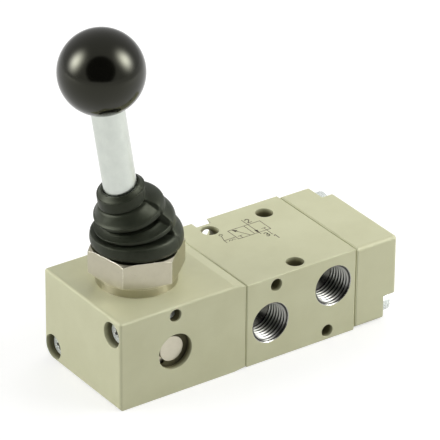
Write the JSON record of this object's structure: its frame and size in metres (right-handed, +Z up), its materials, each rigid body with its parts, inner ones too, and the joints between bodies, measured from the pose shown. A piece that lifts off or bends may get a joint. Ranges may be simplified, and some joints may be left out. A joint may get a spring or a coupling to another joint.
{
  "type": "hand lever air valve",
  "caption": "Spool valve in a rectangular painted block, worked by a two-position lever with a ball knob that leans out of a rubber bellows on a hexagonal collar.",
  "frame": {"origin": "middle of the valve body's underside", "axes": "+Z up along the upright lever, +X along the spool from the lever's housing to the end cover, -Y out of the face with two ports"},
  "size_m": [0.109, 0.042, 0.1162],
  "materials": {
    "paint": "satin beige green paint, fine grain",
    "rubber": "matt black rubber",
    "nickel": "satin nickel",
    "zinc": "bright zinc plate",
    "knob": "polished black phenolic",
    "brass": "plain brass",
    "steel": "ground steel",
    "dark_steel": "black oxide spring steel",
    "spool_metal": "hard anodised aluminium",
    "spacer": "natural acetal"
  },
  "bodies": {
    "valve": {"valve_body": "paint", "operator_housing": "paint", "end_cover": "paint", "operator_gasket": "rubber", "cover_gasket": "rubber", "hex_collar": "nickel", "collar_seal": "rubber", "rubber_boot": "rubber", "pivot_pin": "steel", "spool_seals": "rubber", "spacer_cages": "spacer", "end_spacers": "spacer", "detent_plug": "nickel", "retaining_ring": "dark_steel", "detent_spring": "steel", "operator_screws": "zinc", "cover_screws": "zinc"},
    "lever": {"lever_hub": "steel", "lever_rod": "zinc", "ball_knob": "knob", "knob_insert": "brass"},
    "spool": {"spool": "spool_metal", "drive_shuttle": "steel"},
    "detent": {"detent_ball": "steel"}
  },
  "joints": [
    {"name": "lever_pivot", "type": "hinge", "parent": "valve", "child": "lever", "pos_m": [-0.047, 0, 0.0269], "axis": [0, 1, 0], "range_deg": [0, 18.2], "deforming": ["rubber_boot"]},
    {"name": "spool_slide", "type": "slide", "parent": "valve", "child": "spool", "axis": [1, 0, 0], "range_m": [-0.00396, 0]},
    {"name": "detent_slide", "type": "slide", "parent": "valve", "child": "detent", "axis": [0, 1, 0], "range_m": [0, 0.00063], "deforming": ["detent_spring"]}
  ],
  "couplings": [
    {"joint": "spool_slide", "follows": "lever_pivot", "m_per_rad": -0.012448}
  ]
}
